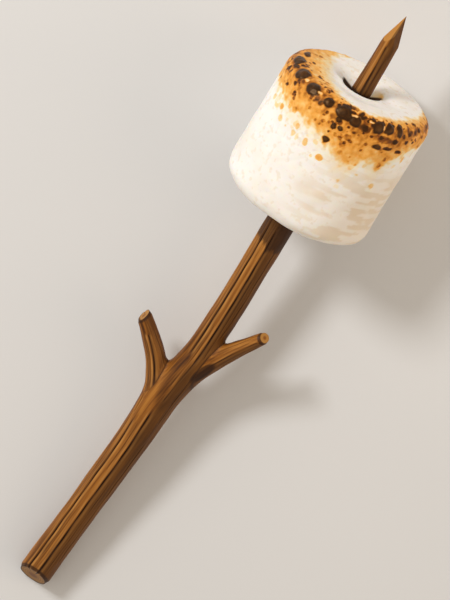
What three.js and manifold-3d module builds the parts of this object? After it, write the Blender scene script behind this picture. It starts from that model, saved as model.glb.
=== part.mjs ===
// A toasted marshmallow pushed onto a forked twig with a whittled point. Millimetres, +Z up.
// The treat lies on its side: the twig runs along X with the point toward +X, and the
// marshmallow and the butt of the twig touch the table at z = 0.
import * as THREE from 'three';
import { mergeVertices } from 'three/addons/utils/BufferGeometryUtils.js';
import Module from 'manifold-3d';

const wasm = await Module();
wasm.setup();
const { Manifold, Mesh } = wasm;

// Lie of the treat: the twig rises toward its point and the soft side is pressed a little flat.
const RISE_DEG = 6.45;
const AXIS_HEIGHT = 22.72;

// Marshmallow.
const BODY_RADIUS = 22.5;
const BODY_HALF_LENGTH = 20.8;
const EDGE_RADIUS = 4.5;
const TOP_SKEW = 0.85;
const LIP_RADIUS = 6.0;
const DIMPLE_RADIUS = 11.0;
const DIMPLE_DEPTH = 0.7;
const FUNNEL_DEPTH = 8.0;
const BORE_GAP = 0.3;
const STEM_AT_TOP = 2.65;
const STEM_AT_BOTTOM = 4.17;
const LOWER_TAPER = 0.25;
const BODY_SEGMENTS = 72;

// Twig: stations along the stem, each [along, across, toward the upper side, radius].
const POINT_AT = 45.4;
const STEM = [
  [46.5, 0.0, 0.0, 2.6],
  [36.0, 0.0, 0.0, 2.63],
  [20.8, 0.05, 0.0, 2.65],
  [0.0, 0.1, 0.0, 3.4],
  [-20.8, 0.1, 0.0, 4.17],
  [-40.0, 0.1, 0.0, 4.2],
  [-60.0, 0.2, 0.0, 4.2],
  [-73.0, 0.9, 0.0, 4.3],
  [-84.0, 2.5, 0.0, 4.8],
  [-94.2, 3.7, 0.0, 5.05],
  [-106.3, 4.3, 0.0, 4.85],
  [-124.5, 5.75, 0.0, 4.65],
  [-144.0, 7.35, 0.0, 4.7],
  [-156.5, 8.45, 0.0, 4.85],
  [-167.0, 9.3, 0.0, 4.9],
];
const LEFT_STUB = [
  [-96.5, 4.6, 0.0, 2.8],
  [-90.2, 6.2, 0.0, 3.1],
  [-85.5, 8.5, 0.0, 3.05],
  [-81.2, 11.2, 0.2, 2.9],
  [-77.3, 14.7, 0.5, 2.65],
  [-74.0, 18.0, 0.8, 2.35],
  [-71.2, 21.2, 1.1, 2.25],
];
const RIGHT_STUB = [
  [-90.0, 2.2, 0.0, 2.0],
  [-82.7, 0.0, 0.2, 2.6],
  [-76.8, -2.5, 0.8, 2.8],
  [-71.5, -5.0, 1.8, 2.65],
  [-65.9, -7.9, 3.2, 2.4],
  [-62.0, -10.3, 4.3, 2.05],
  [-55.8, -14.0, 6.0, 1.75],
];
const STEM_SIDES = 28;
const STUB_SIDES = 20;
const RINGS_PER_STATION = 3;

// Knife cuts.
// Four strokes make the point, each [turn round from the upper side, slope], in degrees.
const POINT_STROKES = [
  [45, 16.4],
  [120, 11.4],
  [-125, 13],
  [-60, 14],
];
const BUTT_CUT = { at: [-159.0, 8.7, 0.0], facing: [-0.816, 0.071, 0.574] };
const LEFT_CUT = { at: [-72.6, 20.0, 1.0], facing: [0.42, 0.88, 0.2] };
const RIGHT_CUT = { at: [-57.4, -12.9, 5.5], facing: [0.72, -0.42, 0.55] };
const STEM_CUT_BLOCK = 30;
const STUB_CUT_BLOCK = 8;
const FLOOR_BLOCK = [600, 200, 40];

const radians = THREE.MathUtils.degToRad;

function solid(geometry) {
  const bare = geometry.clone();
  bare.deleteAttribute('normal');
  bare.deleteAttribute('uv');
  const merged = mergeVertices(bare, 1e-5);
  return new Manifold(new Mesh({
    numProp: 3,
    vertProperties: new Float32Array(merged.attributes.position.array),
    triVerts: new Uint32Array(merged.index.array),
  }));
}

// A round limb: a cylinder whose rings are carried along a curve through the stations.
function limb(stations, sides) {
  const line = new THREE.CatmullRomCurve3(stations.map(([x, y, z]) => new THREE.Vector3(x, y, z)));
  const girth = new THREE.CatmullRomCurve3(stations.map((s) => new THREE.Vector3(s[3], 0, 0)));
  const rings = (stations.length - 1) * RINGS_PER_STATION;
  const geometry = new THREE.CylinderGeometry(1, 1, 1, sides, rings);
  const place = geometry.attributes.position;
  for (let i = 0; i < place.count; i += 1) {
    const t = THREE.MathUtils.clamp(0.5 - place.getY(i), 0, 1);
    const along = line.getTangent(t);
    const side = new THREE.Vector3(0, 0, 1).cross(along).normalize();
    const upper = along.clone().cross(side);
    const radius = girth.getPoint(t).x;
    const spot = line.getPoint(t)
      .addScaledVector(side, radius * place.getX(i))
      .addScaledVector(upper, radius * place.getZ(i));
    place.setXYZ(i, spot.x, spot.y, spot.z);
  }
  return geometry;
}

// Everything on the outer side of a flat cut, as a block whose face lies on the cut.
function beyond(at, facing, size) {
  const block = new THREE.BoxGeometry(size, size, size).translate(0, 0, size / 2);
  const turn = new THREE.Quaternion().setFromUnitVectors(
    new THREE.Vector3(0, 0, 1),
    new THREE.Vector3(...facing).normalize(),
  );
  return solid(block.applyQuaternion(turn).translate(...at));
}

function makeTwig() {
  let twig = solid(limb(STEM, STEM_SIDES))
    .add(solid(limb(LEFT_STUB, STUB_SIDES)))
    .add(solid(limb(RIGHT_STUB, STUB_SIDES)));
  for (const [turnDeg, slopeDeg] of POINT_STROKES) {
    const turn = radians(turnDeg);
    const slope = radians(slopeDeg);
    const facing = [
      Math.sin(slope),
      Math.cos(slope) * Math.sin(turn),
      Math.cos(slope) * Math.cos(turn),
    ];
    twig = twig.subtract(beyond([POINT_AT, 0, 0], facing, STEM_CUT_BLOCK));
  }
  twig = twig.subtract(beyond(BUTT_CUT.at, BUTT_CUT.facing, STEM_CUT_BLOCK));
  twig = twig.subtract(beyond(LEFT_CUT.at, LEFT_CUT.facing, STUB_CUT_BLOCK));
  return twig.subtract(beyond(RIGHT_CUT.at, RIGHT_CUT.facing, STUB_CUT_BLOCK));
}

// Radius of the stem where it runs through the marshmallow.
function stemRadiusAt(along) {
  const share = (BODY_HALF_LENGTH - along) / (2 * BODY_HALF_LENGTH);
  return THREE.MathUtils.lerp(STEM_AT_TOP, STEM_AT_BOTTOM, THREE.MathUtils.clamp(share, 0, 1));
}

// Half section of the marshmallow, [radius, along], from the bore at the butt side, over the
// outside, to the lip of the hole and down the funnel to the bore again.
function bodySection() {
  const end = BODY_HALF_LENGTH;
  const flat = BODY_RADIUS - EDGE_RADIUS;
  const section = [
    new THREE.Vector2(stemRadiusAt(-end) + BORE_GAP, 0.8 - end),
    new THREE.Vector2(stemRadiusAt(-end) + 1.3, 0.3 - end),
    new THREE.Vector2(LIP_RADIUS + 4, -end),
  ];
  for (let i = 0; i <= 8; i += 1) {
    const turn = (Math.PI / 2) * (i / 8);
    section.push(new THREE.Vector2(
      flat + EDGE_RADIUS * Math.sin(turn),
      EDGE_RADIUS - end - EDGE_RADIUS * Math.cos(turn),
    ));
  }
  for (let i = 0; i <= 8; i += 1) {
    const turn = (Math.PI / 2) * (i / 8);
    section.push(new THREE.Vector2(
      flat + EDGE_RADIUS * Math.cos(turn),
      end - EDGE_RADIUS + EDGE_RADIUS * Math.sin(turn),
    ));
  }
  section.push(new THREE.Vector2(DIMPLE_RADIUS + 3, end));
  section.push(new THREE.Vector2(DIMPLE_RADIUS, end - DIMPLE_DEPTH * 0.3));
  section.push(new THREE.Vector2(LIP_RADIUS + 2.2, end - DIMPLE_DEPTH));
  section.push(new THREE.Vector2(LIP_RADIUS + 0.7, end - DIMPLE_DEPTH * 0.5));
  section.push(new THREE.Vector2(LIP_RADIUS, end - DIMPLE_DEPTH - 0.6));
  section.push(new THREE.Vector2(LIP_RADIUS - 0.7, end - 3));
  section.push(new THREE.Vector2(LIP_RADIUS - 1.8, end - 5.5));
  section.push(new THREE.Vector2(stemRadiusAt(end - FUNNEL_DEPTH) + BORE_GAP, end - FUNNEL_DEPTH));
  section.push(new THREE.Vector2(stemRadiusAt(0) + BORE_GAP, 0));
  section.push(section[0].clone());
  return section;
}

function makeBody() {
  const geometry = new THREE.LatheGeometry(bodySection(), BODY_SEGMENTS);
  geometry.rotateZ(-Math.PI / 2);
  const place = geometry.attributes.position;
  for (let i = 0; i < place.count; i += 1) {
    const share = place.getX(i) / BODY_HALF_LENGTH;
    const squeeze = 1 - (LOWER_TAPER / BODY_RADIUS) * Math.max(0, -share);
    const skew = (TOP_SKEW * Math.max(0, share) * place.getY(i)) / BODY_RADIUS;
    place.setXYZ(i, place.getX(i) - skew, place.getY(i) * squeeze, place.getZ(i) * squeeze);
  }
  return solid(geometry);
}

const floor = solid(
  new THREE.BoxGeometry(...FLOOR_BLOCK).translate(0, 0, -FLOOR_BLOCK[2] / 2),
);
const lay = (piece) => piece
  .rotate([0, -RISE_DEG, 0])
  .translate([0, 0, AXIS_HEIGHT])
  .subtract(floor);
const body = lay(makeBody());
const twig = lay(makeTwig());
const low = twig.boundingBox();
const wide = body.boundingBox();
const middle = [
  -(Math.min(low.min[0], wide.min[0]) + Math.max(low.max[0], wide.max[0])) / 2,
  -(Math.min(low.min[1], wide.min[1]) + Math.max(low.max[1], wide.max[1])) / 2,
  0,
];

function node(name, piece, material) {
  const { vertProperties, triVerts } = piece.translate(middle).getMesh();
  const geometry = new THREE.BufferGeometry();
  geometry.setAttribute('position', new THREE.BufferAttribute(vertProperties, 3));
  geometry.setIndex(new THREE.BufferAttribute(triVerts, 1));
  geometry.computeVertexNormals();
  const mesh = new THREE.Mesh(geometry, material);
  mesh.name = name;
  return mesh;
}

const treat = new THREE.Group();
treat.name = 'toasted_marshmallow';
treat.add(node('marshmallow', body, new THREE.MeshStandardMaterial({
  color: 0xf4e6cc,
  roughness: 0.75,
  metalness: 0,
})));
treat.add(node('twig', twig, new THREE.MeshStandardMaterial({
  color: 0x8a5a2b,
  roughness: 0.7,
  metalness: 0,
})));

export default treat;
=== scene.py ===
"""A toasted marshmallow on a forked twig with a whittled point, lying on a pale table."""

import math

import bmesh
import bpy
import numpy as np
from mathutils import Matrix, Vector


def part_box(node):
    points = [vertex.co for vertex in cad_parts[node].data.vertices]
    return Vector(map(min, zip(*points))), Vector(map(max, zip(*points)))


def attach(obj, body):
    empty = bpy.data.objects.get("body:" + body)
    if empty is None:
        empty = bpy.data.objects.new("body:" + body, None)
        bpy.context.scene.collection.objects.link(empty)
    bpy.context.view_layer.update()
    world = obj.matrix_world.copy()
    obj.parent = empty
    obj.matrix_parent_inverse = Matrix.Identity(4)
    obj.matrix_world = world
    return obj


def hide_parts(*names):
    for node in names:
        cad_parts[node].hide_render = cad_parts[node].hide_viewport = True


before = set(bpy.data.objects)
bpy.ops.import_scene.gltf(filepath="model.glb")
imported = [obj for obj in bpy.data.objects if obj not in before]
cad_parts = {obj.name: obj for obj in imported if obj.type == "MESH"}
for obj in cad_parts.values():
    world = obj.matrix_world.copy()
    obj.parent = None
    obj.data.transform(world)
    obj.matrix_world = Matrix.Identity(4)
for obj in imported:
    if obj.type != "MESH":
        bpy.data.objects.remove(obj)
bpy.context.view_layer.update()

# ---------------------------------------------------------------------------------------------
# The lie of the treat. Shapes are worked out in millimetres in the treat's own axes: along the
# twig toward its point, across to the left, and up out of its upper side. The twig rises a
# little toward its point, because the thick marshmallow lifts it and the butt touches the table.

RISE = math.radians(6.45)
AXIS_HEIGHT = 22.72
POINT_AT = 45.4
MM = 0.001

axis_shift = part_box("twig")[1].x / MM - POINT_AT * math.cos(RISE)


def lay(own):
    """Own axes in mm to the part's frame in metres: turned up by the rise about Y, lifted to the
    axis height and shifted along X so that the point meets the far end of the twig's box."""
    along, across, up = own[..., 0], own[..., 1], own[..., 2]
    x = along * math.cos(RISE) - up * math.sin(RISE) + axis_shift
    z = along * math.sin(RISE) + up * math.cos(RISE) + AXIS_HEIGHT
    return np.stack([x, across, z], axis=-1) * MM


# ---------------------------------------------------------------------------------------------
# The camera looks down on the lying treat from the side of the point, 20 degrees off square to
# the twig, through a very long lens, and is rolled so that the point leans right of the top.

TILT = math.radians(20.0)
LEAN = math.radians(31.2)
LENS = 600.0
SENSOR = 36.0
VIEW_HEIGHT = 0.1716
LOOK_AT = np.array([-55.9, 2.33, 0.0])
CLIP_END = 50.0

elevation = math.pi / 2 - TILT + RISE
back = Vector((math.cos(elevation), 0.0, math.sin(elevation)))
along_view = Vector((math.sin(elevation), 0.0, -math.cos(elevation)))
right_view = Vector((0.0, -1.0, 0.0))
camera_up = along_view * math.cos(LEAN) - right_view * math.sin(LEAN)
camera_right = right_view * math.cos(LEAN) + along_view * math.sin(LEAN)

camera_data = bpy.data.cameras.new("camera")
camera_data.lens = LENS
camera_data.sensor_width = SENSOR
camera_data.clip_end = CLIP_END
camera = bpy.data.objects.new("camera", camera_data)
bpy.context.scene.collection.objects.link(camera)
bpy.context.scene.camera = camera
camera_place = Vector(lay(LOOK_AT)) + back * (VIEW_HEIGHT * LENS / SENSOR)
camera_turn = Matrix((camera_right, camera_up, back)).transposed().to_4x4()
camera.matrix_world = Matrix.Translation(camera_place) @ camera_turn

# ---------------------------------------------------------------------------------------------
# The table is a plain pale sheet of laminate under soft studio light: a main softbox on the
# upper left of the view, a large weak one on the right, a weaker one low on the right that
# catches the edges there, and an even pale surround.

TABLE_HALF = 3.0
SURROUND_STRENGTH = 0.58


def linear(code):
    """An sRGB hex colour as linear red, green, blue and alpha."""
    parts = [int(code[i : i + 2], 16) / 255 for i in (1, 3, 5)]
    return [c / 12.92 if c <= 0.04045 else ((c + 0.055) / 1.055) ** 2.4 for c in parts] + [1.0]


def add_node(tree, kind, inputs=None, stops=(), **properties):
    """Adds a node. Inputs go by name or number, and each is a hex colour, another constant, an
    output socket, or a node, which stands for its first output in use. Stops are the positions
    and hex colours of a colour ramp, from low to high."""
    node = tree.nodes.new(kind)
    for name, value in properties.items():
        setattr(node, name, value)
    named = {socket.name: socket for socket in reversed(node.inputs) if socket.enabled}
    for key, value in (inputs or {}).items():
        socket = node.inputs[key] if isinstance(key, int) else named[key]
        if isinstance(value, bpy.types.Node):
            value = next(output for output in value.outputs if output.enabled)
        if isinstance(value, bpy.types.NodeSocket):
            tree.links.new(value, socket)
        else:
            socket.default_value = linear(value) if isinstance(value, str) else value
    for number, (position, code) in enumerate(stops):
        elements = node.color_ramp.elements
        element = elements[number] if number < 2 else elements.new(position)
        element.position = position
        element.color = linear(code)
    return node


def new_material(name):
    """An empty node material with its node tree."""
    material = bpy.data.materials.new(name)
    material.use_nodes = True
    material.node_tree.nodes.clear()
    return material, material.node_tree


def mesh_object(name, points, faces):
    """A mesh object at the origin from an array of points and a list of faces."""
    mesh = bpy.data.meshes.new(name)
    mesh.from_pydata(points.reshape(-1, 3).tolist(), [], faces)
    made = bpy.data.objects.new(name, mesh)
    bpy.context.scene.collection.objects.link(made)
    return made


def laminate():
    """Matt melamine laminate: flat, evenly pale, with a faint cloudiness a hand wide."""
    material, tree = new_material("matt_laminate")
    where = add_node(tree, "ShaderNodeTexCoord").outputs["Object"]
    cloud = add_node(tree, "ShaderNodeTexNoise", {"Vector": where, "Scale": 1 / (125 * MM)})
    tone = add_node(
        tree, "ShaderNodeMix", {"Factor": cloud, "A": "#d9dbde", "B": "#e0e1e3"}, data_type="RGBA"
    )
    shader = add_node(tree, "ShaderNodeBsdfPrincipled", {"Base Color": tone, "Roughness": 0.7})
    add_node(tree, "ShaderNodeOutputMaterial", {"Surface": shader})
    return material


corners = np.array([(-1, -1, 0), (1, -1, 0), (1, 1, 0), (-1, 1, 0)]) * TABLE_HALF
table = mesh_object("table", corners, [(0, 1, 2, 3)])
table.data.materials.append(laminate())

world = bpy.data.worlds.new("studio")
world.use_nodes = True
bpy.context.scene.world = world
surround = world.node_tree.nodes["Background"]
surround.inputs["Color"].default_value = linear("#f8ecdc")
surround.inputs["Strength"].default_value = SURROUND_STRENGTH
lights_aim = Vector(lay(np.array([-20.0, 0.0, 0.0])))


def softbox(name, right, up, toward, size, watts, colour):
    """A round area light placed by view directions from the marshmallow, aimed at it."""
    data = bpy.data.lights.new(name, "AREA")
    data.shape = "DISK"
    data.size = size
    data.energy = watts
    data.color = linear(colour)[:3]
    light = bpy.data.objects.new(name, data)
    offset = camera_right * right + camera_up * up + back * toward
    light.location = lights_aim + offset
    light.rotation_mode = "QUATERNION"
    light.rotation_quaternion = offset.to_track_quat("Z", "Y")
    bpy.context.scene.collection.objects.link(light)


softbox("key_softbox", -0.5, 0.47, 0.74, 0.24, 5.7, "#fffdfa")
softbox("fill_softbox", 0.8, -0.3, 0.6, 0.6, 1.65, "#ffe3c4")
softbox("rim_softbox", 0.95, -0.15, 0.36, 0.3, 0.5, "#fff0dc")

bpy.context.scene.view_settings.view_transform = "Standard"

# ---------------------------------------------------------------------------------------------
# The marshmallow is one extruded and cut jumbo roasting marshmallow: starch-dusted sugar foam,
# pushed onto the twig and toasted over embers until the upper part of its rim browned and
# blistered. Foam clings to the wood at the butt side and is torn open at the point side.

BODY_RADIUS = 22.5
BODY_END = 20.8
EDGE_RADIUS = 4.5
TOP_SKEW = 0.85
MOUTH_RADIUS = 13.5
DIMPLE_FLOOR = 8.6
DIMPLE_DEPTH = 0.75
LIP_RADIUS = 6.0
LIP_ROLL = 0.6
LIP_RISE = 0.1
FUNNEL_DEPTH = 8.0
PUCKER_HEIGHT = 0.9
PUCKER_WIDTH = 1.2
BUTT_CROWN = 0.25
STEM_AT_TOP = 2.65
STEM_AT_BOTTOM = 4.17
CLING = 0.1
HIDDEN_RADIUS = 4.3
CREST_TURN = math.radians(50)
TURNS = 400
STATIONS = 236
BROWN_SPAN = 24
FLECKS = 230
SPLASHES = 34

# Blisters: angle round from the upper side, distance down from the crest of the rim, half width
# round the rim, half width across it, and height.
BLISTERS = [
    (-75, -0.8, 2.6, 1.9, 0.4), (-92, -2.7, 2, 0.9, 0.3), (-52, 0.2, 2.5, 2.2, 0.45),
    (-33, 1.1, 2.1, 2, 0.45), (-16, 1.5, 1.7, 1.7, 0.4), (-3, 1.6, 2.4, 2.2, 0.5),
    (8, 2.3, 1.9, 1.8, 0.4), (26, 1.2, 1.9, 1.8, 0.4), (36.5, 0.8, 1.3, 1.7, 0.35),
    (46, 0.8, 1, 1.7, 0.4), (-3, 4.1, 1, 0.9, 0.3), (-4, 6.7, 0.85, 0.8, 0.25),
    (1, 6.2, 0.8, 0.75, 0.25), (-4, 11.2, 0.9, 0.9, 0.3), (32, 6.7, 1.4, 0.8, 0.3),
]
# Brown marks that have not blistered: angle, distance down, half widths, and how brown.
MARKS = [
    (41, 6.5, 1.4, 0.6, 0.45), (52, 6.9, 1, 0.55, 0.5), (57, 0.6, 1.1, 1.5, 0.2),
    (35, 4.2, 2.8, 1, 0.2), (66, 0.5, 0.8, 1.3, 0.2), (-25, 2.4, 0.8, 0.8, 0.25),
    (-44, 6, 0.8, 0.8, 0.4), (-57, 6, 0.6, 0.6, 0.4), (-49, 3.8, 0.65, 0.65, 0.45),
    (-46, -4.6, 0.75, 0.7, 0.45), (-79, -5.3, 0.65, 0.6, 0.45), (9, 7.6, 1.1, 0.9, 0.2),
    (-107, -5.5, 0.9, 0.6, 0.3), (-24, -2.6, 1.6, 1, 0.25), (17, 3.2, 1.6, 1.1, 0.22),
    (3, -1.4, 1.4, 0.8, 0.3), (-49, 12, 0.9, 0.9, 0.36), (-1, 16.8, 1.1, 0.9, 0.42),
    (-16, 15.2, 0.8, 1.3, 0.3), (-27, 12.9, 0.8, 0.9, 0.26), (10, 12.6, 0.7, 0.7, 0.2),
    (8, 10, 0.9, 0.9, 0.2), (-36, 9.6, 0.8, 1, 0.2), (62, 9, 0.5, 1.1, 0.3),
]
# Painted highlights between the blisters, laid as pale spots: angle, distance down and half widths.
HIGHLIGHT_SPOTS = [
    (-43, 0.7, 0.7, 0.5), (-26.5, 0.9, 0.75, 0.5), (5.5, 0.9, 0.9, 0.45),
    (20, 0.5, 0.8, 0.4), (31, 1.0, 0.35, 0.8),
]
# How far the browning reaches down the side and in over the end face, by angle.
REACH_ANGLES = [
    -180, -140, -115, -80, -60, -45, -30, -12, 3, 16, 24, 30, 36, 43, 50, 60, 76, 100, 122, 180
]
REACH_DOWN = [
    0.1, 0.6, 4.5, 8, 8.6, 10.2, 10, 11, 13.4, 15.2, 14.5, 11, 12.4, 13.6, 10, 6.8, 5.5, 3.5, 0.5, 0.1
]
REACH_IN = [
    0.1, 4.5, 8.5, 10, 10, 8.6, 7, 4.6, 2.8, 2.4, 2.6, 3, 3.4, 3.8, 4.2, 4.4, 4, 2.4, 0.4, 0.1
]
# How brown the foam is at each share of that reach: the shares, then the browning.
SIDE_FADE = (
    [0, 0.15, 0.32, 0.5, 0.72, 0.9, 1.0, 1.08, 1.4],
    [0.73, 0.67, 0.58, 0.49, 0.43, 0.37, 0.22, 0.08, 0],
)
FACE_FADE = ([0, 0.2, 0.4, 0.6, 0.8, 1.0, 1.25], [0.66, 0.5, 0.42, 0.36, 0.26, 0.12, 0])


def eased(x, xs, ys):
    """Smooth curve through points: a cubic between each two, whose slope at a point is the
    slope between its neighbours."""
    xs, ys = np.asarray(xs, float), np.asarray(ys, float)
    slope = np.gradient(ys, xs)
    i = np.clip(np.searchsorted(xs, x) - 1, 0, len(xs) - 2)
    gap = xs[i + 1] - xs[i]
    t = np.clip((x - xs[i]) / gap, 0.0, 1.0)
    a = ys[i] * (1 + 2 * t) * (1 - t) ** 2 + ys[i + 1] * t * t * (3 - 2 * t)
    return a + gap * (slope[i] * t * (1 - t) ** 2 - slope[i + 1] * t * t * (1 - t))


def step(low, high, x):
    """0 on the far side of low, 1 on the far side of high, a smooth cubic between."""
    t = np.clip((x - low) / (high - low), 0.0, 1.0)
    return t * t * (3 - 2 * t)


def bell(x, width):
    """1 at 0, falling as exp(-(x / width) squared) to both sides."""
    return np.exp(-((x / width) ** 2))


def lumps(points, wavelength, seed, waves=28):
    """Smooth random field of about unit size: a sum of sine waves of one wavelength in random
    directions with random phases."""
    draw = np.random.default_rng(seed)
    way = draw.normal(size=(waves, 3))
    way /= np.linalg.norm(way, axis=1, keepdims=True)
    way *= 2 * math.pi / (wavelength * draw.uniform(0.75, 1.35, size=(waves, 1)))
    phase = draw.uniform(0, 2 * math.pi, size=waves)
    total = np.zeros(points.shape[:-1])
    for one, start in zip(way, phase):
        total += np.sin(points @ one + start)
    return total / math.sqrt(waves / 2)


def around(angle, centre):
    """Angle difference wrapped to within half a turn, in radians."""
    return (angle - centre + math.pi) % (2 * math.pi) - math.pi


def stem_radius_inside(along):
    """Radius of the twig inside the marshmallow: an even taper from one end to the other."""
    share = np.clip((BODY_END - along) / (2 * BODY_END), 0, 1)
    return STEM_AT_TOP + (STEM_AT_BOTTOM - STEM_AT_TOP) * share


def body_section():
    """Closed half section, radius and along, as fine points: a butt face puckered up along the
    wood, a quarter-round edge, the straight side, the same edge again, a face that dips toward
    the hole, a rolled lip, and a funnel and bore down to the start."""
    flat = BODY_RADIUS - EDGE_RADIUS
    turn = np.linspace(0, math.pi / 2, 60)
    start = stem_radius_inside(-BODY_END) - CLING
    out = np.linspace(start, flat, 120)
    pucker = PUCKER_HEIGHT * np.exp(-(out - start) / PUCKER_WIDTH)
    crown = BUTT_CROWN * np.cos(out / flat * math.pi / 2)
    edge_out = flat + EDGE_RADIUS * np.sin(turn)
    edge_up = EDGE_RADIUS * (1 - np.cos(turn))
    side = np.linspace(EDGE_RADIUS - BODY_END, BODY_END - EDGE_RADIUS, 300)
    inward = np.linspace(flat, LIP_RADIUS + LIP_ROLL, 100)
    dip = DIMPLE_DEPTH * step(MOUTH_RADIUS, DIMPLE_FLOOR, inward)
    lip = LIP_RISE * step(DIMPLE_FLOOR, LIP_RADIUS + LIP_ROLL, inward)
    lip_top = BODY_END - DIMPLE_DEPTH + LIP_RISE
    funnel_top = lip_top - LIP_ROLL
    funnel_foot = BODY_END - FUNNEL_DEPTH
    throat = stem_radius_inside(funnel_foot) - CLING
    share = np.linspace(0, 1, 80)
    funnel_radius = LIP_RADIUS + (throat - LIP_RADIUS) * step(0.1, 1.05, share)
    bore = np.linspace(funnel_foot, PUCKER_HEIGHT - BODY_END, 40)
    lines = [
        (out, pucker + crown - BODY_END),
        (edge_out, edge_up - BODY_END),
        (np.full_like(side, BODY_RADIUS), side),
        (edge_out[::-1], BODY_END - edge_up[::-1]),
        (inward, BODY_END - dip + lip),
        (LIP_RADIUS + LIP_ROLL * (1 - np.sin(turn)), lip_top - LIP_ROLL * (1 - np.cos(turn))),
        (funnel_radius, funnel_top + (funnel_foot - funnel_top) * share),
        (stem_radius_inside(bore) - CLING, bore),
    ]
    return np.concatenate([np.stack(line, 1)[:-1] for line in lines])


def spaced(section, count):
    """Resamples the closed section to count stations: closest together where the foam is toasted
    and torn, and far apart in the bore, which the twig fills."""
    closed = np.concatenate([section, section[:1]])
    legs = np.linalg.norm(np.diff(closed, axis=0), axis=1)
    radius, along = ((closed[1:] + closed[:-1]) / 2).T
    fine = step(-2.0, 6.0, along) * step(4.0, 6.0, radius)
    pace = legs * (0.42 + 0.58 * fine) * np.where(radius < HIDDEN_RADIUS, 0.15, 1.0)
    spot = np.concatenate([[0], np.cumsum(pace)])
    want = np.linspace(0, spot[-1], count, endpoint=False)
    return np.stack([np.interp(want, spot, closed[:, k]) for k in (0, 1)], 1)


def outward(section):
    """Unit normals of a closed section: its direction of travel turned a quarter turn out."""
    ahead = np.roll(section, -1, 0) - np.roll(section, 1, 0)
    ahead /= np.linalg.norm(ahead, axis=1, keepdims=True)
    return np.stack([ahead[:, 1], -ahead[:, 0]], 1)


def crest_distance(section):
    """Arc length along the section from the crest of the toasted rim, positive down the side."""
    legs = np.linalg.norm(np.roll(section, -1, 0) - section, axis=1)
    length = np.concatenate([[0], np.cumsum(legs)[:-1]])
    edge_centre = np.array([BODY_RADIUS - EDGE_RADIUS, BODY_END - EDGE_RADIUS])
    crest = edge_centre + EDGE_RADIUS * np.array([math.cos(CREST_TURN), math.sin(CREST_TURN)])
    nearest = np.argmin(np.linalg.norm(section - crest, axis=1))
    return length[nearest] - length


def grid_faces(rows, columns, wrap_rows=True):
    """Quads of a grid of points numbered row by row. Each row closes on itself, and the last
    row joins the first where wrapped."""
    r, c = np.meshgrid(np.arange(rows if wrap_rows else rows - 1), np.arange(columns), indexing="ij")
    below, right = (r + 1) % rows, (c + 1) % columns
    corners = [r * columns + c, below * columns + c, below * columns + right, r * columns + right]
    return np.stack([k.ravel() for k in corners], 1)


def finish_skin(mesh, attributes, material):
    """Smooth shading, a float or vector attribute for each name, and the only material."""
    for name, values in attributes.items():
        vector = values.ndim > 1
        layer = mesh.attributes.new(name, "FLOAT_VECTOR" if vector else "FLOAT", "POINT")
        layer.data.foreach_set("vector" if vector else "value", values.astype(np.float32).ravel())
    mesh.shade_smooth()
    mesh.materials.clear()
    mesh.materials.append(material)


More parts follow.
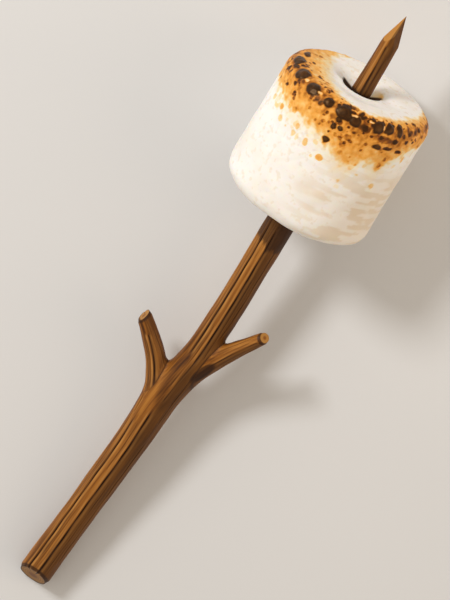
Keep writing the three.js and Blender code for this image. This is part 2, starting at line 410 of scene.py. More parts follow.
def toasted_foam():
    """Sugar foam: matt and starch-dusted where white, and where toasted a thin crust of caramel
    that goes gold, brown and black and turns glossy. Light sinks a millimetre or two into it."""
    material, tree = new_material("toasted_sugar_foam")
    where = add_node(tree, "ShaderNodeTexCoord").outputs["Object"]
    toast, char, painted_hole_shade, shade_strokes = [
        add_node(tree, "ShaderNodeAttribute", attribute_name=name).outputs["Fac"]
        for name in ("toast", "char", "painted_hole_shade", "painted_shade_folds")
    ]

    # Browning breaks up in patches about 1.5 mm across, less where there is little of it.
    patch = add_node(
        tree, "ShaderNodeTexNoise",
        {"Vector": where, "Scale": 1 / (1.5 * MM), "Detail": 3.0, "Roughness": 0.6},
    )
    spread = add_node(tree, "ShaderNodeMath", {0: patch, 1: 0.34, 2: -0.17}, operation="MULTIPLY_ADD")
    browned = add_node(tree, "ShaderNodeMapRange", {"Value": toast, "From Max": 0.3})
    swing = add_node(tree, "ShaderNodeMath", {0: spread, 1: browned}, operation="MULTIPLY")
    depth = add_node(tree, "ShaderNodeMath", {0: toast, 1: swing}, operation="ADD", use_clamp=True)
    stops = [
        (0.0, "#fdfbf8"), (0.1, "#fdf0d6"), (0.22, "#fbdca4"), (0.36, "#f8bf69"), (0.5, "#eda647"),
        (0.62, "#cb842e"), (0.76, "#8c4f1b"), (0.9, "#4f2b0e"), (1.0, "#341a0a"),
    ]
    crust = add_node(tree, "ShaderNodeValToRGB", {"Fac": depth}, stops)

    # White foam has faint cream clouds about 9 mm across and specks of 1.7 mm; the lower right side gets
    # painted shade in thin folds.
    cloud = add_node(tree, "ShaderNodeTexNoise", {"Vector": where, "Scale": 1 / (9 * MM), "Detail": 2.0})
    clouded = add_node(
        tree, "ShaderNodeMapRange",
        {"Value": cloud, "From Min": 0.48, "From Max": 0.7, "To Max": 0.25},
    )
    clouds_and_shade = add_node(tree, "ShaderNodeMath", {0: clouded, 1: shade_strokes}, operation="ADD", use_clamp=True)
    speckle = add_node(tree, "ShaderNodeTexNoise", {"Vector": where, "Scale": 1 / (1.7 * MM), "Detail": 1.0})
    speck = add_node(
        tree, "ShaderNodeMapRange",
        {"Value": speckle, "From Min": 0.56, "From Max": 0.68, "To Max": 0.45},
    )
    tint_and_shade = add_node(tree, "ShaderNodeMath", {0: clouds_and_shade, 1: speck}, operation="MAXIMUM")
    tinted = add_node(
        tree, "ShaderNodeMix", {"Factor": tint_and_shade, "A": crust, "B": "#eaddca"},
        data_type="RGBA", blend_type="MULTIPLY",
    )

    # Blisters are burnt to uneven charcoal, and the hollow under the lip gets painted shade in dark brown.
    burnt = add_node(tree, "ShaderNodeTexNoise", {"Vector": where, "Scale": 1 / (0.9 * MM), "Detail": 2.0})
    black = add_node(
        tree, "ShaderNodeMix", {"Factor": burnt, "A": "#1d0d06", "B": "#3d2210"}, data_type="RGBA"
    )
    colour = tinted
    for cover, over in ((char, black), (painted_hole_shade, "#2a1408")):
        colour = add_node(tree, "ShaderNodeMix", {"Factor": cover, "A": colour, "B": over}, data_type="RGBA")

    # Sugar that has melted and set shines a little; charcoal shines more.
    gloss = add_node(
        tree, "ShaderNodeMapRange",
        {"Value": depth, "From Min": 0.15, "From Max": 0.8, "To Min": 0.62, "To Max": 0.5},
    )
    glaze = add_node(tree, "ShaderNodeMix", {"Factor": char, "A": gloss, "B": 0.38})

    # Foam cells and clumps of starch are 0.1 to 0.2 mm across; drawn as a shallow bump of
    # 0.35 mm so that they show.
    dust = add_node(
        tree, "ShaderNodeTexNoise",
        {"Vector": where, "Scale": 1 / (0.35 * MM), "Detail": 3.0, "Roughness": 0.65},
    )
    bump = add_node(tree, "ShaderNodeBump", {"Height": dust, "Strength": 0.35, "Distance": 0.1 * MM})
    shader = add_node(
        tree, "ShaderNodeBsdfPrincipled",
        {
            "Base Color": colour, "Roughness": glaze, "Normal": bump, "IOR": 1.45,
            "Specular Tint": "#ffcf9a", "Subsurface Weight": 0.35,
            "Subsurface Radius": (1.0, 0.72, 0.45), "Subsurface Scale": 1.6 * MM,
        },
    )
    add_node(tree, "ShaderNodeOutputMaterial", {"Surface": shader})
    return material


# The skin is the section carried round the axis. Turns are packed closer on the toasted side.
section = spaced(body_section(), STATIONS)
normal = outward(section)
down = crest_distance(section)[None]
turns = np.arange(TURNS) / TURNS * 2 * math.pi - math.pi
turns = turns - 0.35 * np.sin(turns) - math.radians(8)
rightward, upward = np.sin(turns)[:, None], np.cos(turns)[:, None]
leftward = -rightward
radius, along = section[None, :, 0], section[None, :, 1]
plain_skin = np.stack(
    [np.broadcast_to(along, (TURNS, STATIONS)), radius * leftward, radius * upward], -1
)

# Browning, from 0 on white foam to 1 where it is burnt, with a ragged outline.
degrees = np.degrees(around(turns, 0.0))
reach_down = eased(degrees, REACH_ANGLES, REACH_DOWN)[:, None]
reach_in = eased(degrees, REACH_ANGLES, REACH_IN)[:, None]
ragged = lumps(plain_skin, 3.0, 5) * 0.5 + lumps(plain_skin, 1.4, 6) * 0.35
share = np.where(down > 0, (down + ragged * 0.9) / reach_down, (-down + ragged * 0.7) / reach_in)
toast = np.where(down > 0, np.interp(share, *SIDE_FADE), np.interp(share, *FACE_FADE))
mottle = lumps(plain_skin, 2.6, 7) * 0.06 + lumps(plain_skin, 1.2, 8) * 0.035
toast = toast + mottle * step(0.1, 0.6, toast)
outside = (np.abs(down) < BROWN_SPAN) & (radius > LIP_RADIUS + 0.5)
toast = np.clip(toast, 0, 1) * outside * step(0.3, 1.5, np.where(down > 0, reach_down, reach_in))


def spot_field(at, below, wide, tall, rough, seed):
    """Squared distance from a spot on the skin in units of its half widths, its outline uneven."""
    q = (radius * around(turns, math.radians(at))[:, None] / wide) ** 2 + ((down - below) / tall) ** 2
    near = np.where(outside & (q < 9), q, 9.0)
    uneven = rough * lumps(plain_skin, 0.65 * (wide + tall) + 0.6, seed, waves=12)
    return near * np.clip(1 + uneven, 0.55, 1.6)


# Blisters, brown marks, pale spots of painted highlight, and a scatter of small brown flecks. Past
# the browning lie a few splashes of gold.
char = np.zeros((TURNS, STATIONS))
dome = np.zeros((TURNS, STATIONS))
for number, (at, below, wide, tall, height) in enumerate(BLISTERS):
    q = spot_field(at, below, wide, tall, 0.2, 100 + number)
    dome = np.maximum(dome, height * np.clip(1 - q, 0, 1) ** 0.7)
    char = np.maximum(char, step(1.15, 0.85, q) * (0.9 + 0.1 * step(0.0, 0.6, q)))
    toast = np.maximum(toast, 0.66 * step(2.2, 1.0, q))
for number, (at, below, wide, tall, brown) in enumerate(MARKS):
    q = spot_field(at, below, wide, tall, 0.25, 200 + number)
    toast = np.clip(toast + brown * step(1.35, 0.7, q), 0, 1)
for number, (at, below, wide, tall) in enumerate(HIGHLIGHT_SPOTS):
    highlight = step(1.5, 0.5, spot_field(at, below, wide, tall, 0.3, 250 + number))
    toast = toast * (1 - 0.65 * highlight)
    char = char * (1 - highlight)
draw = np.random.default_rng(31)
for number in range(FLECKS):
    at = draw.normal(-14, 50)
    far = draw.triangular(-0.95, 0.15, 1.1)
    limit = np.interp(at, REACH_ANGLES, REACH_DOWN if far > 0 else REACH_IN)
    size = draw.uniform(0.24, 0.7)
    brown = draw.uniform(0.17, 0.5) * (1 - 0.45 * abs(far))
    q = spot_field(at, far * limit, size, size * draw.uniform(0.7, 1.3), 0.25, 300 + number)
    toast = np.clip(toast + brown * step(1.3, 0.6, q), 0, 1)
    dome = np.maximum(dome, 0.1 * size * np.clip(1 - q, 0, 1) ** 0.6)
for number in range(SPLASHES):
    at = draw.normal(-20, 45)
    below = np.interp(at, REACH_ANGLES, REACH_DOWN) * draw.uniform(1.05, 1.6)
    size = draw.uniform(0.4, 0.95)
    q = spot_field(at, below, size, size * draw.uniform(0.8, 1.3), 0.3, 500 + number)
    toast = np.maximum(toast, draw.uniform(0.06, 0.25) * step(1.3, 0.6, q))

# Painted shade on the lower right side: thin strokes round the body over a base shade that grows
# toward the right. The same strokes dent the skin a little.
shade_strokes = lumps(plain_skin * np.array([3.2, 0.42, 0.42]), 8.0, 16)
shade_strokes = shade_strokes + 0.5 * lumps(plain_skin * np.array([2.6, 0.5, 0.5]), 3.5, 17)
shaded_side = step(-0.4, 1.0, rightward) * step(12.0, -3.0, along)
shade_floor = 0.12 + 0.4 * step(0.3, 0.95, rightward)
painted_shade_folds = (shade_floor + (1 - shade_floor) * step(-0.1, 0.35, shade_strokes)) * shaded_side

# Relief: slow swelling of the foam, creases in the skin, and the crust and blisters on top. It
# fades out before the bore.
swell = 0.11 * lumps(plain_skin, 19.0, 11) + 0.05 * lumps(plain_skin, 7.0, 12)
slanted = plain_skin * np.array([1.0, 0.55, 0.55]) + 0.4 * plain_skin[..., [1, 2, 0]]
crease = -0.08 * bell(lumps(slanted, 8.0, 13), 0.4) * step(-0.2, 0.9, lumps(plain_skin, 11.0, 14))
crust = 0.06 * lumps(plain_skin, 1.9, 15) * step(0.2, 0.6, toast)
relief = (swell + crease + crust + dome - 0.07 * painted_shade_folds) * step(4.6, 7.5, radius)
body_radius = radius + relief * normal[None, :, 0]
body_along = along + relief * normal[None, :, 1]

# The mouth of the hole has a crisp lip on the upper side; opposite, the foam was dragged in and
# slopes gently down to the twig. It tilts a little to the left.
mouth = (radius < MOUTH_RADIUS) & (along > BODY_END - FUNNEL_DEPTH)
path = np.cumsum(np.linalg.norm(np.diff(section, axis=0, prepend=section[:1]), axis=1))[None]
inwards = np.clip((path - path[mouth].min()) / np.ptp(path[mouth]), 0, 1)
sloped_radius = MOUTH_RADIUS - (MOUTH_RADIUS - section[mouth[0], 0].min()) * inwards**0.8
sloped_along = BODY_END - FUNNEL_DEPTH * inwards**2.2
dragged = step(0.22, -0.38, upward) * mouth
body_radius = body_radius + dragged * (sloped_radius - radius)
body_along = body_along + dragged * (sloped_along - along)
body_along = body_along - 0.15 * leftward * mouth * step(MOUTH_RADIUS, LIP_RADIUS + 1, radius)

# Deep in the mouth, painted shade darkens the hollow under the lip, from higher up on the sides
# than at the far wall. A brownish patch lies on the wall to the right of the twig.
below_face = BODY_END - body_along
dark_from = np.clip(1.7 - 6.0 * (upward + 0.57), 1.7, 3.7)
between_tips = mouth * step(6.8, 5.8, np.abs(body_radius * leftward))
painted_hole_shade = step(dark_from - 0.15, dark_from + 0.25, below_face) * between_tips
brown_patch = bell(around(turns, math.radians(120))[:, None], 0.4) * step(0.9, 1.5, below_face) * between_tips
toast = np.maximum(toast, 0.38 * brown_patch)

# The toasted end was cut a little askew, and the soft side is pressed flat on the table.
skew = np.clip(body_along / BODY_END, 0, 1) * body_radius * leftward / BODY_RADIUS
body_along = body_along - TOP_SKEW * skew
body_points = lay(np.stack([body_along, body_radius * leftward, body_radius * upward], -1))
body_points[..., 2] = np.maximum(body_points[..., 2], 0.0)
marshmallow = mesh_object("toasted_marshmallow_body", body_points, grid_faces(TURNS, STATIONS).tolist())
finish_skin(
    marshmallow.data,
    {"toast": toast.ravel(), "char": char.ravel(), "painted_hole_shade": painted_hole_shade.ravel(), "painted_shade_folds": painted_shade_folds.ravel()},
    toasted_foam(),
)
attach(marshmallow, "root")
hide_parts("marshmallow")

# ---------------------------------------------------------------------------------------------
# The twig is a cut and dried hazel shoot, forked where two side shoots were snipped to stubs.
# Its bark has split along the grain, one side carries painted shade, the ends show bare wood
# and the point is whittled with four strokes of a knife. It is all one piece of wood.

# Stations along each limb: along, across, up and radius.
STEM = [
    (-167, 9.3, 0, 4.9), (-156.5, 8.45, 0, 4.85), (-144, 7.35, 0, 4.7),
    (-124.5, 5.75, 0, 4.65), (-106.3, 4.3, 0, 4.85), (-94.2, 3.7, 0, 5.05),
    (-84, 2.5, 0, 4.8), (-73, 0.9, 0, 4.3), (-60, 0.2, 0, 4.2),
    (-40, 0.1, 0, 4.2), (-20.8, 0.1, 0, 4.17), (0, 0.1, 0, 3.4),
    (20.8, -0.15, 0, 2.87), (36, 0, 0, 2.63), (46.5, 0, 0, 2.6),
]
LEFT_STUB = [
    (-96.5, 4.6, 0, 2.8), (-90.2, 6.2, 0, 3.1), (-85.5, 8.5, 0, 3.05), (-81.2, 11.2, 0.2, 2.9),
    (-77.3, 14.7, 0.5, 2.65), (-74, 18, 0.8, 2.35), (-71.2, 21.2, 1.1, 2.25),
]
RIGHT_STUB = [
    (-90, 2.2, 0, 2), (-82.7, 0, 0.2, 2.6), (-76.8, -2.5, 0.8, 2.8), (-71.5, -5, 1.8, 2.65),
    (-65.9, -7.9, 3.2, 2.4), (-62, -10.3, 4.3, 2.05), (-55.8, -14, 6, 1.75),
]
# Cuts: a point on the flat and the way it faces.
BUTT_CUT = ((-159, 8.7, 0), (-0.816, 0.071, 0.574))
LEFT_CUT = ((-72.6, 20, 1), (0.42, 0.88, 0.2))
RIGHT_CUT = ((-57.4, -12.9, 5.5), (0.72, -0.42, 0.55))
# Knife strokes at the point: angle round from the upper side and slope, in degrees, and how much
# pale wood shows on the flat, less on the right-facing flats as painted shade.
POINT_STROKES = [(-45, 16.4, 1), (-120, 11.4, 0.8), (125, 13, 0.2), (60, 14, 0)]
SHOULDER_AT = 34.0
FLATS_FROM = 28.0
CUT_SPAN = 9.0
FILLET = 2.6
FILLET_MOVES = 14
BEVEL = 0.3
BUTT_LEAD = 9.0
STUB_LEAD = 5.0
NO_FLAT = 99.0
STEM_TURNS = 232
STUB_TURNS = 120
CAP_RINGS = 12
# Rings lie close at the worn rims and the point, and far apart only inside the marshmallow.
RIM_LENGTH = 1.5
RIM_RINGS = 7
LOWER_SPACING = 0.85
HIDDEN_SPACING = 3.0
UPPER_SPACING = 0.7
STUB_SPACING = 0.5
POINT_RINGS = 44

# Splits in the bark: where each starts and ends along its limb, its angle round from the upper
# side at both ends (positive to the right), its width and its depth.
STEM_SPLITS = [
    (-24, -75, -39, -30, 0.5, 0.42), (-24, -77, 1, 9, 0.46, 0.4), (-75, -91, 9, 12, 0.3, 0.18),
    (-34, -66, 46, 40, 0.34, 0.22), (-93, -164, 2, 9, 0.52, 0.45), (-99, -164, -40, -32, 0.5, 0.42),
    (-104, -152, 48, 52, 0.36, 0.25), (36, 10, -8, 7, 0.5, 0.32), (33, 10, 27, 27, 0.45, 0.22),
    (34, 12, -44, -42, 0.28, 0.16), (-93, -99, -58, -54, 0.34, 0.25), (-28, -58, -66, -70, 0.3, 0.18),
    (-112, -140, -72, -66, 0.32, 0.2), (-44, -74, 22, 27, 0.26, 0.14), (-62, -86, -12, -4, 0.28, 0.16),
    (-120, -158, 28, 30, 0.28, 0.15), (-100, -118, -16, -14, 0.26, 0.13),
    (-130, -160, -14, -12, 0.26, 0.13), (-78, -98, 40, 46, 0.34, 0.2), (-98, -110, -62, -60, 0.3, 0.16),
    (-24, -40, -20, -18, 0.26, 0.12),
]
LEFT_SPLITS = [
    (-94, -75.5, 0, 0, 0.5, 0.44), (-90, -80, -52, -46, 0.32, 0.2), (-84, -75, 58, 52, 0.3, 0.16),
    (-88, -77, -22, -20, 0.26, 0.12), (-80, -73.5, 28, 24, 0.26, 0.12),
]
RIGHT_SPLITS = [
    (-74, -58.5, 6, 2, 0.38, 0.22), (-72, -60, 52, 46, 0.32, 0.2), (-70, -60, -48, -52, 0.28, 0.14),
    (-69, -61, -20, -22, 0.24, 0.12),
]
# Patches of painted shade: along, across, slant in degrees, half length, half width and darkness.
# The first is a painted shadow under the right stub, the second darkens the middle of the fork.
SHADE_PATCHES = [(-77.2, -3, -22, 4.8, 1.6, 0.85), (-84, 2.4, 0, 9.5, 3.6, 0.25)]


class Limb:
    """A tapered limb measured on a straight chord from its first station to its last: the centre
    wanders sideways off the chord, and the radius changes, as smooth functions of the distance.
    The lit side is 1 where the painted highlight is stronger on the right lips of its splits, and
    -1 for the left."""

    def __init__(self, stations, splits, seed, lit_side):
        data = np.array(stations, float)
        self.origin = data[0, :3]
        chord = data[-1, :3] - self.origin
        self.length = np.linalg.norm(chord)
        self.ahead = chord / self.length
        self.side = np.cross([0.0, 0.0, 1.0], self.ahead)
        self.side /= np.linalg.norm(self.side)
        self.up = np.cross(self.ahead, self.side)
        off = data[:, :3] - self.origin
        self.marks, self.sideways, self.upward = off @ self.ahead, off @ self.side, off @ self.up
        self.girth = data[:, 3]
        self.lit_side = lit_side
        self.splits = []
        for start, end, turn, end_turn, width, deep in splits:
            turn, end_turn = math.radians(turn), math.radians(end_turn)
            self.splits.append((self.mark(start), self.mark(end), turn, end_turn, width, deep))
        self.crack_underside(np.random.default_rng(seed), max(3, len(splits)))

    def crack_underside(self, draw, count):
        """Adds splits at random places on the under side."""
        for _ in range(count):
            start = draw.uniform(0.05, 0.7) * self.length
            turn = math.radians(draw.uniform(85, 275))
            end = start + draw.uniform(0.15, 0.5) * self.length
            end_turn = turn + draw.uniform(-0.2, 0.2)
            self.splits.append((start, end, turn, end_turn, draw.uniform(0.35, 0.6), 0.3))

    def mark(self, along):
        """Distance on the chord of the point of the centre line at that place along the twig."""
        places = (
            self.origin[0] + self.marks * self.ahead[0]
            + self.sideways * self.side[0] + self.upward * self.up[0]
        )
        order = np.argsort(places)
        return float(np.interp(along, places[order], self.marks[order]))

    def centre(self, w):
        """Sideways and upward offsets of the centre line from the chord."""
        return eased(w, self.marks, self.sideways), eased(w, self.marks, self.upward)

    def radius(self, w):
        """Radius in the plane square to the chord, larger where the centre line slants."""
        a0, b0 = self.centre(w - 0.5)
        a1, b1 = self.centre(w + 0.5)
        return eased(w, self.marks, self.girth) * np.sqrt(1 + (a1 - a0) ** 2 + (b1 - b0) ** 2)

    def local(self, points):
        """Distance on the chord, distance from the centre line and angle round it."""
        off = points - self.origin
        w = off @ self.ahead
        a, b = self.centre(w)
        a, b = off @ self.side - a, off @ self.up - b
        return w, np.hypot(a, b), np.arctan2(-a, b)

    def gap(self, points):
        """Signed distance outside the round limb, whose root ends in a ball."""
        w, far, _ = self.local(points)
        return np.hypot(far, np.minimum(w, 0)) - self.radius(w)

    def spot(self, w, angle, far):
        """Point at a distance on the chord, an angle and a distance from the centre line."""
        a, b = self.centre(w)
        a, b = a - far * np.sin(angle), b + far * np.cos(angle)
        return self.origin + w[..., None] * self.ahead + a[..., None] * self.side + b[..., None] * self.up

    def middle(self, w):
        """Point of the centre line at one distance on the chord."""
        return self.spot(np.full(1, w), np.zeros(1), np.zeros(1))

    def outward(self, angle):
        """Direction away from the centre line at an angle round from the upper side."""
        return -np.sin(angle)[..., None] * self.side + np.cos(angle)[..., None] * self.up

    def near_splits(self, w, angle, girth):
        """For each split: distance from its wandering line, how open it is there, its width and
        its depth. It opens and closes over the first and last few hundredths of its length."""
        for start, end, turn, end_turn, width, deep in self.splits:
            share = (w - start) / (end - start)
            wander = 0.018 * np.sin(w * 0.17 + start) + 0.006 * np.sin(w * 0.71 + end)
            off = around(angle, turn + (end_turn - turn) * share + wander) * girth
            opening = step(0.0, 0.06, share) * step(1.0, 0.94, share)
            yield off, opening * (0.8 + 0.2 * np.sin(w * 0.57 + turn * 9)), width, deep

    def splitting(self, w, angle, girth):
        """Depth of the splits at a place, and their raised lips as a small negative depth."""
        depth = np.zeros(np.broadcast(w, angle).shape)
        for off, opening, width, deep in self.near_splits(w, angle, girth):
            groove = bell(off, 0.5 * width)
            ridge = bell(np.abs(off) - 1.1 * width, 0.5 * width)
            depth = depth + deep * opening * (groove - 0.22 * ridge)
        return depth

    def lip_highlights(self, w, angle, girth):
        """Painted highlight on the lips of the splits: a pale strip at each side of every split, the
        stronger one on the lit side."""
        highlight = np.zeros(np.broadcast(w, angle).shape)
        for off, opening, width, deep in self.near_splits(w, angle, girth):
            lip_light = np.where(off * self.lit_side > 0, 1.0, 0.6) * deep / 0.45
            highlight = np.maximum(highlight, lip_light * opening * bell(np.abs(off) - 1.35 * width, 0.6 * width))
        return highlight


stem = Limb(STEM, STEM_SPLITS, 3, 1)
left_stub = Limb(LEFT_STUB, LEFT_SPLITS, 4, -1)
right_stub = Limb(RIGHT_STUB, RIGHT_SPLITS, 5, -1)
limbs = [stem, left_stub, right_stub]
tip = np.array([POINT_AT, 0.0, 0.0])


def union_gap(points, own):
    """Signed distance outside the three limbs joined with a fillet: a smooth minimum of their
    distances. Past the seam, where another limb is nearer than its own, a limb's skin dives."""
    gaps = [limb.gap(points) for limb in limbs]
    others = gaps[:own] + gaps[own + 1 :]
    total = gaps[own]
    for other in others:
        share = np.clip(0.5 + 0.5 * (other - total) / FILLET, 0, 1)
        total = other + (total - other) * share - FILLET * share * (1 - share)
    return total + 0.8 * np.maximum(0, gaps[own] - np.minimum.reduce(others))


def limb_skin(own, w, angle):
    """Distance of the skin from the centre line: the round limb, moved out in small moves until
    it meets the filleted union, made slightly out of round, and cut by its splits."""
    limb = limbs[own]
    girth = limb.radius(w)
    swell = np.zeros(np.broadcast(w, angle).shape)
    for _ in range(FILLET_MOVES):
        swell -= 0.8 * union_gap(limb.spot(w, angle, girth + swell), own)
        swell = np.clip(swell, -0.9, 1.3)
    tube = np.stack(np.broadcast_arrays(w * 0.25, girth * np.cos(angle), girth * np.sin(angle)), -1)
    uneven = 0.045 * lumps(tube, 6.0, 40 + own) + 0.025 * lumps(tube, 2.2, 50 + own)
    return girth + swell + uneven - limb.splitting(w, angle, girth)


def cut_face(limb, cut, w_end, angle, far):
    """Distance on the chord at which a line along the limb meets the flat of a cut."""
    at, facing = np.array(cut[0]), np.array(cut[1])
    a, b = limb.centre(w_end)
    a, b = a - far * np.sin(angle), b + far * np.cos(angle)
    level = facing @ (at - limb.origin) - (facing @ limb.side) * a - (facing @ limb.up) * b
    return level / (facing @ limb.ahead)


def cut_limb(own, cut, rings, lead, turns, side_bevel=0.0):
    """Rings of points of a limb, from the middle of its cut end to its last ring. The first lead
    millimetres slant until the rim lies on the cut, whose rim is worn to a small bevel; the cut's
    own rings are the rim drawn in to the middle."""
    limb = limbs[own]
    angle = np.arange(turns)[None] / turns * 2 * math.pi
    rings = rings[:, None]
    from_end = np.abs(rings - rings[0])
    wear = (BEVEL + side_bevel * np.sin(angle) ** 4) * step(1.0 + 2 * side_bevel, 0.0, from_end)
    skin = limb_skin(own, rings, angle) - wear
    end = cut_face(limb, cut, rings[0], angle, skin[:1])
    body = limb.spot(rings + (end - rings[0]) * step(lead, 0.0, from_end), angle, skin)
    share = np.linspace(0, 1, CAP_RINGS + 1)[1:-1, None]
    lid_far = skin[:1] * share
    lid = limb.spot(cut_face(limb, cut, rings[0], angle, lid_far), angle + 0 * share, lid_far)
    middle = limb.middle(cut_face(limb, cut, rings[0], np.zeros(1), np.zeros(1))[0])
    return middle, np.concatenate([lid, body]), skin, angle


def closed_tube(name, first, rings, last):
    """A closed mesh object from rings of equal length between two poles, normals outwards."""
    count, turns = rings.shape[:2]
    points = np.concatenate([rings.reshape(-1, 3), first.reshape(1, 3), last.reshape(1, 3)])
    now = np.arange(turns)
    after = (now + 1) % turns
    last_ring = (count - 1) * turns
    foot = np.stack([np.full(turns, count * turns), after, now], 1)
    head = np.stack([np.full(turns, count * turns + 1), now + last_ring, after + last_ring], 1)
    side = grid_faces(count, turns, wrap_rows=False)[:, ::-1]
    made = mesh_object(name, points, side.tolist() + foot.tolist() + head.tolist())
    shell = bmesh.new()
    shell.from_mesh(made.data)
    bmesh.ops.recalc_face_normals(shell, faces=shell.faces)
    shell.to_mesh(made.data)
    shell.free()
    return made


def facet_normal(stroke):
    """Outward direction of the flat that a knife stroke leaves."""
    turn, slope = math.radians(stroke[0]), math.radians(stroke[1])
    return np.array([math.sin(slope), -math.cos(slope) * math.sin(turn), math.cos(slope) * math.cos(turn)])


def facet_reach(w, angle):
    """Distance from the stem's centre line to the nearest whittled flat, for each angle."""
    centre = stem.spot(w, np.zeros(1), np.zeros(1))
    way = stem.outward(angle)
    reach = np.full(np.broadcast(w, angle).shape, NO_FLAT)
    for stroke in POINT_STROKES:
        facing = facet_normal(stroke)
        towards = way @ facing
        height = (tip - centre) @ facing
        flat = np.where(towards > 0.05, height / np.maximum(towards, 0.05), NO_FLAT)
        reach = np.minimum(reach, flat)
    return np.maximum(reach, 0.0)


# The stem goes from the butt through the marshmallow and the shoulder of the whittling to the
# point. The flats start within 4 mm before the shoulder.
butt, tip_mark, shoulder = stem.mark(BUTT_CUT[0][0]), stem.mark(POINT_AT), stem.mark(SHOULDER_AT)
hidden_low, hidden_high = stem.mark(-18.0), stem.mark(15.0)
stem_rings = np.concatenate([
    np.linspace(butt, butt + RIM_LENGTH, RIM_RINGS)[:-1],
    np.arange(butt + RIM_LENGTH, hidden_low, LOWER_SPACING),
    np.arange(hidden_low, hidden_high, HIDDEN_SPACING),
    np.arange(hidden_high, shoulder, UPPER_SPACING),
    np.linspace(shoulder, tip_mark - 0.15, POINT_RINGS),
])
middle, rings, skin, angle = cut_limb(0, BUTT_CUT, stem_rings, BUTT_LEAD, STEM_TURNS, side_bevel=0.25)
whittled = stem_rings > shoulder - 4
near_point = stem_rings[whittled][:, None]
pointed = np.minimum(skin[whittled], facet_reach(near_point, angle))
rings[-len(near_point) :] = stem.spot(near_point, angle, pointed)
twig = closed_tube("forked_twig", middle, rings, tip)

# The stubs are grown onto the stem as unions, so the twig is one closed skin.
stubs = []
for own, cut, name in ((1, LEFT_CUT, "left_stub"), (2, RIGHT_CUT, "right_stub")):
    end = limbs[own].mark(cut[0][0])
    stub_rings = np.concatenate([
        np.linspace(end, end - RIM_LENGTH, RIM_RINGS)[:-1],
        np.arange(end - RIM_LENGTH, STUB_SPACING, -STUB_SPACING),
    ])
    middle, rings, _, _ = cut_limb(own, cut, stub_rings, STUB_LEAD, STUB_TURNS)
    stubs.append(closed_tube(name, middle, rings, limbs[own].middle(stub_rings[-1])))
for stub in stubs:
    joint = twig.modifiers.new(stub.name, "BOOLEAN")
    joint.operation = "UNION"
    joint.solver = "MANIFOLD"
    joint.object = stub
joined = bpy.data.meshes.new_from_object(twig.evaluated_get(bpy.context.evaluated_depsgraph_get()))
twig.modifiers.clear()
twig.data = joined
joined.name = "forked_twig"
for stub in stubs:
    bpy.data.objects.remove(stub)

# Where each point of the joined skin lies on its limb gives its splits, the painted highlights on their lips
# and its grain.
own_points = np.empty(len(joined.vertices) * 3)
joined.vertices.foreach_get("co", own_points)
own_points = own_points.reshape(-1, 3)
along = own_points[:, 0]
gaps = np.stack([limb.gap(own_points) for limb in limbs])
nearest = gaps.argmin(0)
dark_and_painted_shade, heart, turn_round, painted_highlight = (np.zeros(len(own_points)) for _ in range(4))
grain = np.zeros((len(own_points), 3))
for own, limb in enumerate(limbs):
    here = nearest == own
    w, far, turn = limb.local(own_points[here])
    girth = limb.radius(w)
    dark_and_painted_shade[here] = np.clip(limb.splitting(w, turn, girth) / 0.3, 0, 1)
    painted_highlight[here] = limb.lip_highlights(w, turn, girth)
    heart[here] = far / girth
    turn_round[here] = turn
    grain[here] = np.stack([w + 31.0 * own, far * np.cos(turn), far * np.sin(turn)], 1) * MM

# The snipped ends are bare wood inside a dark collar of dried bark; the butt's face is darkened
# further as painted shade.
bare = np.zeros(len(own_points))
for cut in (BUTT_CUT, LEFT_CUT, RIGHT_CUT):
    at, facing = np.array(cut[0]), np.array(cut[1])
    close = np.linalg.norm(own_points - at, axis=1) < CUT_SPAN
    height = (own_points - at) @ facing / np.linalg.norm(facing)
    bare = np.maximum(bare, close * step(-0.12, -0.04, height))
    collar = close * step(-0.85, -0.55, height) * step(-0.04, -0.12, height)
    dark_and_painted_shade = np.maximum(dark_and_painted_shade, 0.8 * collar)
    if cut is BUTT_CUT:
        dark_and_painted_shade = np.maximum(dark_and_painted_shade, 0.28 * bare)
# Each flat shows pale wood by its stroke's weight; the low weights on the right are painted shade.
facet = np.zeros(len(own_points))
for stroke in POINT_STROKES:
    height = (own_points - tip) @ facet_normal(stroke)
    facet = np.maximum(facet, stroke[2] * step(-0.07, -0.02, height) * (along > FLATS_FROM))

# Painted shade darkens the crotches of the fork and the two patches.
ordered = np.sort(gaps, 0)
crotch_shade = bell(ordered[1] - ordered[0], 0.25) * step(-94, -84, along)
dark_and_painted_shade = np.maximum(dark_and_painted_shade, 0.8 * crotch_shade * (ordered[0] > 0.1))
for at, across, slant, length, width, darkness in SHADE_PATCHES:
    way = np.array([math.cos(math.radians(slant)), math.sin(math.radians(slant))])
    off = own_points[:, :2] - np.array([at, across])
    inside = ((off @ way) / length) ** 2 + ((off @ np.array([-way[1], way[0]])) / width) ** 2
    dark_and_painted_shade = np.maximum(dark_and_painted_shade, darkness * step(1.3, 0.6, inside) * (own_points[:, 2] > -1))

# Painted shade where the twig enters the foam at the point side, and a painted shadow of the
# marshmallow on the twig at the butt side, its edge running down in tongues.
painted_entry_shade = step(20.2, 19.2, along) * step(5, 12, along)
uneven = lumps(own_points * np.array([0.05, 1, 1]), 1.2, 62)
shadow_edge = -33.2 - 1.8 * step(-0.8, 0.3, turn_round) - 0.5 * uneven
painted_cast_shadow = step(shadow_edge - 0.5, shadow_edge + 0.5, along) * step(-12, -18, along)
dark_and_painted_shade = np.maximum(dark_and_painted_shade, np.maximum(painted_entry_shade, 0.78 * painted_cast_shadow))

# Painted shade darkens the right side, further round past the foam and less on the left stub. A
# painted highlight runs as a pale streak along the upper left of the bark next to the point.
past_foam = step(15, 20, along)
shade_edge = turn_round + 0.03 * lumps(own_points, 9.0, 61) + 0.24 * past_foam
painted_side_shade = step(0.0, 0.14, shade_edge) * step(3.1, 2.2, turn_round)
painted_side_shade = painted_side_shade * (1 - bare) * np.where(nearest == 1, 0.5, 1.0)
streak = bell(turn_round + 0.44, 0.12) * past_foam * (facet < 0.5)
painted_highlight = np.maximum(painted_highlight, 0.65 * streak)


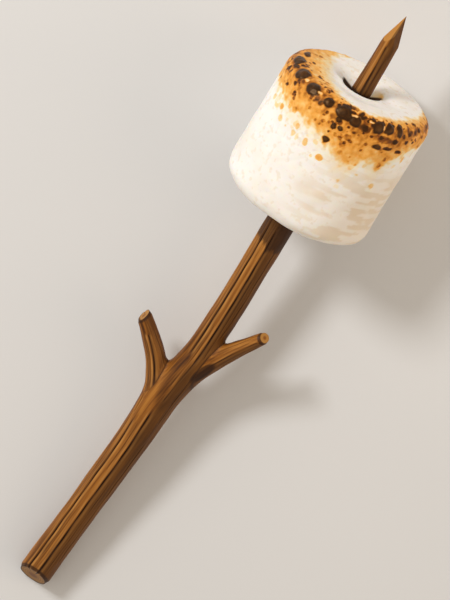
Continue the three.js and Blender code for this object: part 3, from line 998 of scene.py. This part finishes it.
def hazel():
    """Dry hazel: satin brown bark with fine streaks along the grain, dark splits, and paler bare
    wood with growth rings where it was snipped or whittled."""
    material, tree = new_material("dry_hazel_bark")
    grain = add_node(tree, "ShaderNodeAttribute", attribute_name="grain").outputs["Vector"]
    dark_and_painted_shade, heart, bare, facet, painted_side_shade, painted_highlight = [
        add_node(tree, "ShaderNodeAttribute", attribute_name=name).outputs["Fac"]
        for name in ("dark_and_painted_shade", "heart", "bare", "facet", "painted_side_shade", "painted_highlight")
    ]

    # Bark fibres are about 0.5 mm wide and 15 mm long; drawn 0.7 mm wide so that they show. They
    # lie in bands about 2 mm wide.
    fibres = add_node(
        tree, "ShaderNodeMapping",
        {"Vector": grain, "Scale": (1 / (15 * MM), 1 / (0.7 * MM), 1 / (0.7 * MM))},
    )
    streak = add_node(
        tree, "ShaderNodeTexNoise", {"Vector": fibres, "Scale": 1.0, "Detail": 3.0, "Roughness": 0.6}
    )
    bands = add_node(
        tree, "ShaderNodeMapping",
        {"Vector": grain, "Scale": (1 / (40 * MM), 1 / (2.2 * MM), 1 / (2.2 * MM))},
    )
    band = add_node(tree, "ShaderNodeTexNoise", {"Vector": bands, "Scale": 1.0, "Detail": 2.0})
    both = add_node(tree, "ShaderNodeMath", {0: streak, 1: band}, operation="ADD")
    tone = add_node(tree, "ShaderNodeMapRange", {"Value": both, "From Min": 0.7, "From Max": 1.3})
    stops = [(0.0, "#4a280c"), (0.3, "#6d4014"), (0.6, "#8e571d"), (1.0, "#ad722d")]
    bark = add_node(tree, "ShaderNodeValToRGB", {"Fac": tone}, stops)

    # Growth rings on the snipped ends: about 0.7 mm apart on the butt and half that on the stubs,
    # with a dark pith and a dark rim of bark.
    wave = add_node(tree, "ShaderNodeMath", {0: heart, 1: 42.0}, operation="MULTIPLY")
    ring = add_node(tree, "ShaderNodeMath", {0: wave}, operation="SINE")
    late = add_node(tree, "ShaderNodeMapRange", {"Value": ring, "From Min": -1.0})
    ringed = add_node(
        tree, "ShaderNodeMix", {"Factor": late, "A": "#a06c2e", "B": "#c28e48"}, data_type="RGBA"
    )
    pith = add_node(tree, "ShaderNodeMapRange", {"Value": heart, "From Min": 0.42, "From Max": 0.18})
    rim = add_node(tree, "ShaderNodeMapRange", {"Value": heart, "From Min": 0.76, "From Max": 0.88})
    shaved = add_node(
        tree, "ShaderNodeMix", {"Factor": streak, "A": "#a8702e", "B": "#c48a40"}, data_type="RGBA"
    )

    # The snipped wood gets its pith and its rim. The bark gets the snipped ends, whittled flats,
    # painted highlights on the split lips, painted shade on the right side, and dark splits with
    # painted shade and shadow, one over the other.
    lip = add_node(tree, "ShaderNodeMath", {0: painted_highlight, 1: 0.8}, operation="MULTIPLY")
    side_shade = add_node(tree, "ShaderNodeMath", {0: painted_side_shade, 1: 0.7}, operation="MULTIPLY")
    colour = ringed
    for cover, over in ((pith, "#8a5520"), (rim, "#2e1706")):
        colour = add_node(tree, "ShaderNodeMix", {"Factor": cover, "A": colour, "B": over}, data_type="RGBA")
    layers = [(bare, colour), (facet, shaved), (lip, "#d2954c"), (side_shade, "#533310"), (dark_and_painted_shade, "#2b1405")]
    colour = bark
    for cover, over in layers:
        colour = add_node(tree, "ShaderNodeMix", {"Factor": cover, "A": colour, "B": over}, data_type="RGBA")

    bump = add_node(tree, "ShaderNodeBump", {"Height": streak, "Strength": 0.5, "Distance": 0.12 * MM})
    satin = add_node(tree, "ShaderNodeMapRange", {"Value": streak, "To Min": 0.62, "To Max": 0.42})
    shader = add_node(
        tree, "ShaderNodeBsdfPrincipled",
        {
            "Base Color": colour, "Roughness": satin, "Normal": bump, "IOR": 1.4,
            "Specular IOR Level": 0.3,
        },
    )
    add_node(tree, "ShaderNodeOutputMaterial", {"Surface": shader})
    return material


twig_points = lay(own_points)
twig_points[:, 2] = np.maximum(twig_points[:, 2], 0.0)
joined.vertices.foreach_set("co", twig_points.astype(np.float32).ravel())
twig_fields = {"dark_and_painted_shade": dark_and_painted_shade, "heart": heart, "bare": bare, "facet": facet, "painted_side_shade": painted_side_shade, "painted_highlight": painted_highlight}
finish_skin(joined, twig_fields | {"grain": grain}, hazel())
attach(twig, "root")
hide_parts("twig")
